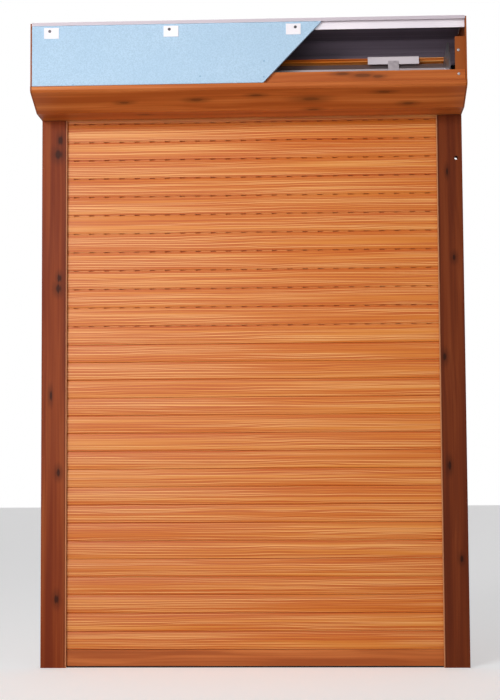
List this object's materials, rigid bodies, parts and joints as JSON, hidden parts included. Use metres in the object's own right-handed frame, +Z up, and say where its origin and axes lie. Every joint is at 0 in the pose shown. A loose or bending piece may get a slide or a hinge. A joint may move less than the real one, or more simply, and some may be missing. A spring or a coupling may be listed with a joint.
{
  "type": "roller shutter",
  "caption": "Flush box roller shutter with woodgrain slats in guide rails, an octagonal winding tube, a sheet box and a foam plaster board.",
  "frame": {"origin": "middle of the footprint, at the foot of the guides", "axes": "+X along the box, to the right seen from outside; +Y towards the wall behind the guides; +Z up"},
  "size_m": [0.88, 0.165, 1.31],
  "materials": {
    "golden_oak": "smooth red brown woodgrain foil with a low sheen",
    "slat_foil": "yellow orange woodgrain foil with fine lengthwise stripes",
    "white_plastic": "smooth white plastic",
    "brown_plastic": "moulded orange brown plastic",
    "black_plastic": "moulded black plastic",
    "black_rubber": "soft black rubber",
    "blue_foam": "light blue rigid foam",
    "dark_sheet": "dark grey painted sheet",
    "grey_paint": "grey painted steel tube",
    "zinc_steel": "zinc plated steel"
  },
  "bodies": {
    "frame": {"guide_left": "golden_oak", "guide_right": "golden_oak", "guide_seals": "black_rubber", "inspection_panel": "golden_oak", "screws": "zinc_steel", "end_plate_left": "brown_plastic", "end_plate_right": "brown_plastic", "top_rail": "white_plastic", "top_cover": "dark_sheet", "rear_cover": "dark_sheet", "plaster_board": "blue_foam", "board_washers": "white_plastic", "motor": "grey_paint", "motor_bracket": "zinc_steel", "idler_bearing": "zinc_steel", "bearing_holder": "black_plastic"},
    "curtain": {"bottom_bar": "golden_oak", "bottom_seal": "black_rubber", "slat_01": "slat_foil", "slat_02": "slat_foil", "slat_03": "slat_foil", "slat_04": "slat_foil", "slat_05": "slat_foil", "slat_06": "slat_foil", "slat_07": "slat_foil", "slat_08": "slat_foil", "slat_09": "slat_foil", "slat_10": "slat_foil", "slat_11": "slat_foil", "slat_12": "slat_foil", "slat_13": "slat_foil", "slat_14": "slat_foil", "slat_15": "slat_foil", "slat_16": "slat_foil", "slat_17": "slat_foil", "slat_18": "slat_foil", "slat_19": "slat_foil", "slat_20": "slat_foil", "slat_21": "slat_foil", "slat_22": "slat_foil", "slat_23": "slat_foil", "slat_24": "slat_foil", "slat_25": "slat_foil", "slat_26": "slat_foil", "slat_27": "slat_foil", "slat_28": "slat_foil", "slat_29": "slat_foil", "slat_30": "slat_foil"},
    "upper_slats": {"slat_31": "slat_foil", "slat_32": "slat_foil"},
    "roller": {"roller_tube": "zinc_steel", "flange_disc_left": "zinc_steel", "flange_disc_right": "zinc_steel", "idler_cap": "black_plastic", "idler_pin": "zinc_steel", "motor_crown": "black_plastic", "drive_wheel": "black_plastic", "slat_33": "slat_foil", "hanger_plates": "white_plastic", "hanger_straps": "zinc_steel"}
  },
  "joints": [
    {"name": "curtain_lift", "type": "slide", "parent": "frame", "child": "curtain", "axis": [0, 0, 1], "range_m": [0, 0.016]},
    {"name": "roller_spin", "type": "hinge", "parent": "frame", "child": "roller", "pos_m": [0, 0, 1.2105], "axis": [1, 0, 0], "range_deg": [0, 20.5]},
    {"name": "upper_slats_tilt", "type": "hinge", "parent": "curtain", "child": "upper_slats", "pos_m": [0, 0.0726, 1.173], "axis": [1, 0, 0], "range_deg": [0, 9.5]}
  ],
  "couplings": [
    {"joint": "roller_spin", "follows": "curtain_lift", "rad_per_m": 21.9},
    {"joint": "upper_slats_tilt", "follows": "curtain_lift", "rad_per_m": 10}
  ]
}
